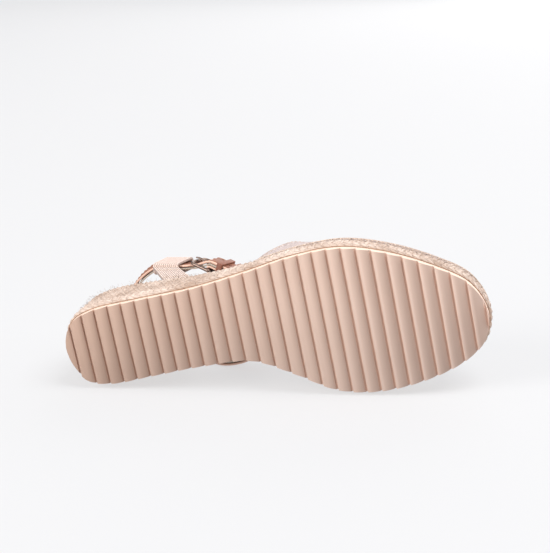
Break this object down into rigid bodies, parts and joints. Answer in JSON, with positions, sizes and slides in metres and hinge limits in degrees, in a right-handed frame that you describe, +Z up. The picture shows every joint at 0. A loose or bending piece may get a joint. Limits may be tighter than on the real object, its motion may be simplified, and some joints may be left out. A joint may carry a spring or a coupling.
{
  "type": "wedge sandal",
  "caption": "Closed-toe espadrille wedge sandal with a ribbed rubber outsole, jute-wrapped wedge, woven vamp, open heel and a buckled ankle strap carried by two webbing tabs.",
  "frame": {"origin": "flat face of a tread rib, on the long axis and half way along the outsole", "axes": "+X from heel to toe, +Y to the medial side of this right shoe, +Z up from the ground"},
  "size_m": [0.2529, 0.0911, 0.0981],
  "materials": {
    "rubber_outsole": "matte, light wear",
    "wedge_foam": "matte",
    "jute": "plaited natural jute",
    "fibre_board": "pressed cellulose board",
    "footbed_foam": "soft open foam",
    "sock_leather": "smooth, slight sheen",
    "vamp_canvas": "coarse woven canvas",
    "toe_puff": "stiffened felt",
    "cotton_lining": "plain weave",
    "webbing": "corded webbing",
    "strap_leather": "smooth cognac, waxed edge",
    "buckle_metal": "antique dark finish"
  },
  "bodies": {
    "shoe": {"footbed_foam": "footbed_foam", "insole_board": "fibre_board", "jute_foxing": "jute", "jute_row_2": "jute", "jute_row_3": "jute", "jute_row_4": "jute", "jute_row_5": "jute", "outsole": "rubber_outsole", "sock_lining": "sock_leather", "tab_lateral": "webbing", "tab_medial": "webbing", "toe_puff": "toe_puff", "vamp_binding": "vamp_canvas", "vamp_lining": "cotton_lining", "vamp_outer": "vamp_canvas", "wedge_core": "wedge_foam"},
    "ankle_strap": {"strap_leather": "strap_leather", "strap_lining": "cotton_lining", "keeper_fixed": "strap_leather"},
    "buckle": {"buckle_frame": "buckle_metal", "buckle_bar": "buckle_metal"},
    "prong": {"buckle_prong": "buckle_metal"},
    "sliding_keeper": {"keeper_sliding": "strap_leather"}
  },
  "joints": [
    {"name": "ankle_strap_swing", "type": "hinge", "parent": "shoe", "child": "ankle_strap", "pos_m": [-0.07175, 0.00215, 0.07825], "axis": [0.0332, 0.989, -0.1438], "range_deg": [-5, 5]},
    {"name": "buckle_tilt", "type": "hinge", "parent": "ankle_strap", "child": "buckle", "pos_m": [-0.0445, -0.0192, 0.0715], "axis": [0.3822, 0.1391, 0.9135], "range_deg": [0, 4]},
    {"name": "prong_lift", "type": "hinge", "parent": "buckle", "child": "prong", "pos_m": [-0.0445, -0.0192, 0.0715], "axis": [0.3822, 0.1391, 0.9135], "range_deg": [0, 6]},
    {"name": "keeper_slide", "type": "slide", "parent": "ankle_strap", "child": "sliding_keeper", "axis": [0.8585, 0.3125, -0.4067], "range_m": [-0.0015, 0.0035]}
  ]
}
